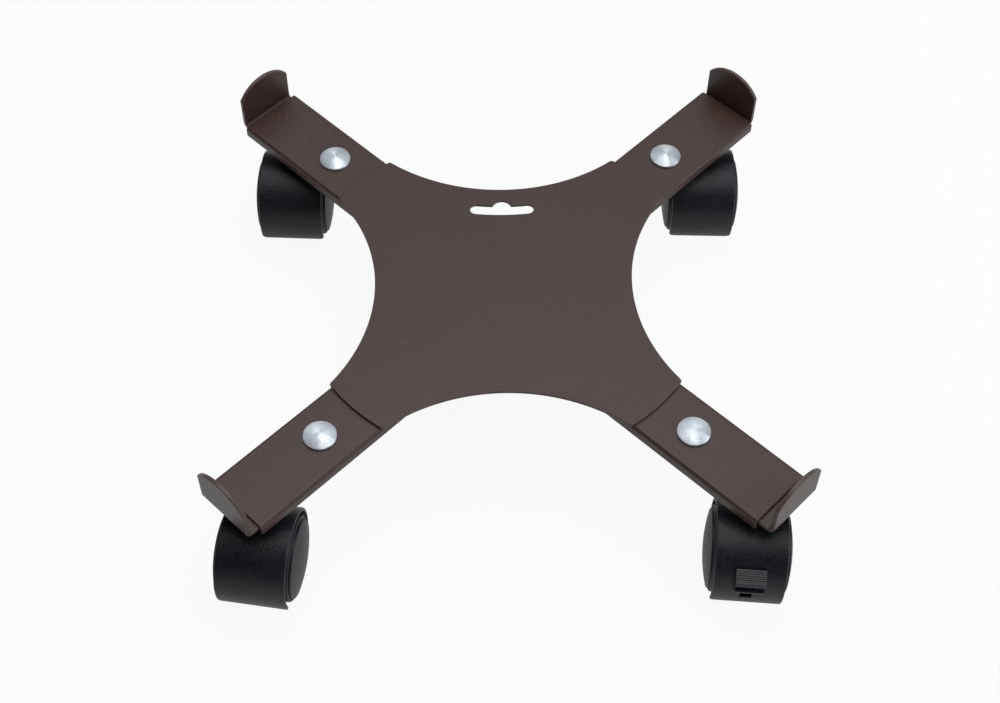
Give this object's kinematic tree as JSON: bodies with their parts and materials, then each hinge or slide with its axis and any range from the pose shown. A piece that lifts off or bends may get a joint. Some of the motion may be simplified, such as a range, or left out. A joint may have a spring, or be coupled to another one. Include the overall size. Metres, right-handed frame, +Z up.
{
  "type": "plant pot caddy",
  "caption": "Low rolling stand for a plant pot: scalloped steel plate, sliding arms with upturned end tabs, hooded twin-wheel casters and a foot brake.",
  "frame": {"origin": "centre of the plate's top face, where the pot rests", "axes": "+Z up out of the plate, +X to the right and +Y to the back as in the picture, arms along the diagonals"},
  "size_m": [0.2738, 0.2884, 0.0792],
  "materials": {
    "powder_coat": "brown satin powder coat with fine grain",
    "zinc": "bright zinc plate",
    "spring_steel": "dark spring steel",
    "hood_plastic": "black moulded plastic with fine grain",
    "wheel_plastic": "black moulded plastic, smoother than the hood",
    "lever_plastic": "black moulded plastic, semi-gloss"
  },
  "bodies": {
    "frame": {"centre_plate": "powder_coat", "arm_front_left": "powder_coat", "arm_front_right": "powder_coat", "arm_back_left": "powder_coat", "arm_back_right": "powder_coat", "coach_bolts": "zinc", "lock_washers": "zinc", "lock_nuts": "zinc"},
    "slide_front_left": {"slide_bar_front_left": "powder_coat", "caster_stem_front_left": "zinc", "stem_ring_front_left": "spring_steel"},
    "caster_front_left": {"caster_hood_front_left": "hood_plastic", "caster_axle_front_left": "zinc"},
    "left_wheel_front_left": {"left_wheel_front_left": "wheel_plastic"},
    "right_wheel_front_left": {"right_wheel_front_left": "wheel_plastic"},
    "slide_front_right": {"slide_bar_front_right": "powder_coat", "caster_stem_front_right": "zinc", "stem_ring_front_right": "spring_steel"},
    "caster_front_right": {"caster_hood_front_right": "hood_plastic", "caster_axle_front_right": "zinc", "brake_pin": "zinc"},
    "left_wheel_front_right": {"left_wheel_front_right": "wheel_plastic"},
    "right_wheel_front_right": {"right_wheel_front_right": "wheel_plastic"},
    "slide_back_left": {"slide_bar_back_left": "powder_coat", "caster_stem_back_left": "zinc", "stem_ring_back_left": "spring_steel"},
    "caster_back_left": {"caster_hood_back_left": "hood_plastic", "caster_axle_back_left": "zinc"},
    "left_wheel_back_left": {"left_wheel_back_left": "wheel_plastic"},
    "right_wheel_back_left": {"right_wheel_back_left": "wheel_plastic"},
    "slide_back_right": {"slide_bar_back_right": "powder_coat", "caster_stem_back_right": "zinc", "stem_ring_back_right": "spring_steel"},
    "caster_back_right": {"caster_hood_back_right": "hood_plastic", "caster_axle_back_right": "zinc"},
    "left_wheel_back_right": {"left_wheel_back_right": "wheel_plastic"},
    "right_wheel_back_right": {"right_wheel_back_right": "wheel_plastic"},
    "brake_lever": {"brake_lever": "lever_plastic"}
  },
  "joints": [
    {"name": "slide_front_left", "type": "slide", "parent": "frame", "child": "slide_front_left", "axis": [-0.7071, -0.7071, 0], "range_m": [-0.0039, 0.0461]},
    {"name": "swivel_front_left", "type": "hinge", "parent": "slide_front_left", "child": "caster_front_left", "pos_m": [-0.11024, -0.11024, -0.00515], "axis": [0, 0, 1], "continuous": true},
    {"name": "roll_left_front_left", "type": "hinge", "parent": "caster_front_left", "child": "left_wheel_front_left", "pos_m": [-0.11279, -0.12532, -0.03765], "axis": [0.986, -0.1668, 0], "continuous": true},
    {"name": "roll_right_front_left", "type": "hinge", "parent": "caster_front_left", "child": "right_wheel_front_left", "pos_m": [-0.11279, -0.12532, -0.03765], "axis": [0.986, -0.1668, 0], "continuous": true},
    {"name": "slide_front_right", "type": "slide", "parent": "frame", "child": "slide_front_right", "axis": [0.7071, -0.7071, 0], "range_m": [-0.0053, 0.0447]},
    {"name": "swivel_front_right", "type": "hinge", "parent": "slide_front_right", "child": "caster_front_right", "pos_m": [0.11123, -0.11123, -0.00515], "axis": [0, 0, 1], "continuous": true},
    {"name": "roll_left_front_right", "type": "hinge", "parent": "caster_front_right", "child": "left_wheel_front_right", "pos_m": [0.10979, -0.12646, -0.03765], "axis": [0.9956, -0.0941, 0], "continuous": true},
    {"name": "roll_right_front_right", "type": "hinge", "parent": "caster_front_right", "child": "right_wheel_front_right", "pos_m": [0.10979, -0.12646, -0.03765], "axis": [0.9956, -0.0941, 0], "continuous": true},
    {"name": "slide_back_left", "type": "slide", "parent": "frame", "child": "slide_back_left", "axis": [-0.7071, 0.7071, 0], "range_m": [-0.0013, 0.0487]},
    {"name": "swivel_back_left", "type": "hinge", "parent": "slide_back_left", "child": "caster_back_left", "pos_m": [-0.1084, 0.1084, -0.00515], "axis": [0, 0, 1], "continuous": true},
    {"name": "roll_left_back_left", "type": "hinge", "parent": "caster_back_left", "child": "left_wheel_back_left", "pos_m": [-0.1092, 0.09312, -0.03765], "axis": [0.9986, -0.0523, 0], "continuous": true},
    {"name": "roll_right_back_left", "type": "hinge", "parent": "caster_back_left", "child": "right_wheel_back_left", "pos_m": [-0.1092, 0.09312, -0.03765], "axis": [0.9986, -0.0523, 0], "continuous": true},
    {"name": "slide_back_right", "type": "slide", "parent": "frame", "child": "slide_back_right", "axis": [0.7071, 0.7071, 0], "range_m": [-0.0002, 0.0498]},
    {"name": "swivel_back_right", "type": "hinge", "parent": "slide_back_right", "child": "caster_back_right", "pos_m": [0.10762, 0.10762, -0.00515], "axis": [0, 0, 1], "continuous": true},
    {"name": "roll_left_back_right", "type": "hinge", "parent": "caster_back_right", "child": "left_wheel_back_right", "pos_m": [0.10711, 0.09233, -0.03765], "axis": [0.9995, -0.0332, 0], "continuous": true},
    {"name": "roll_right_back_right", "type": "hinge", "parent": "caster_back_right", "child": "right_wheel_back_right", "pos_m": [0.10711, 0.09233, -0.03765], "axis": [0.9995, -0.0332, 0], "continuous": true},
    {"name": "brake_press", "type": "hinge", "parent": "caster_front_right", "child": "brake_lever", "pos_m": [0.10996, -0.12466, -0.03089], "axis": [0.9956, -0.0941, 0], "range_deg": [0, 5.5]}
  ]
}
